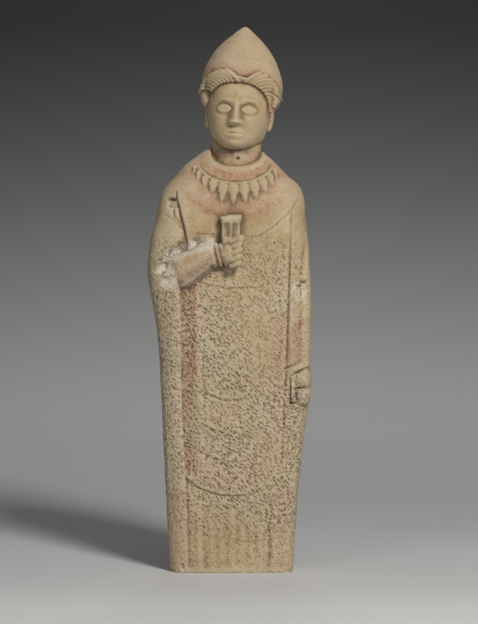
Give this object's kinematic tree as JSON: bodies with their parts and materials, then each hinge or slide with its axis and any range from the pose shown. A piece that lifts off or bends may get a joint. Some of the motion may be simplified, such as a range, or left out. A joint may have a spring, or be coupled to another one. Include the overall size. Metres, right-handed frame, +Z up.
{
  "type": "votive statuette",
  "caption": "Standing limestone worshipper in a long mantle and pointed cap, one fist with a small offering held to the chest, flat back and base.",
  "frame": {"origin": "middle of the flat underside, which stands on a surface", "axes": "+Z up the figure, -Y the way it faces, +X towards its hanging left arm"},
  "size_m": [0.1385, 0.0779, 0.4598],
  "materials": {
    "limestone": "matt, tooled and weathered, with worn traces of red paint"
  },
  "bodies": {
    "root": {"statuette": "limestone"}
  },
  "joints": []
}
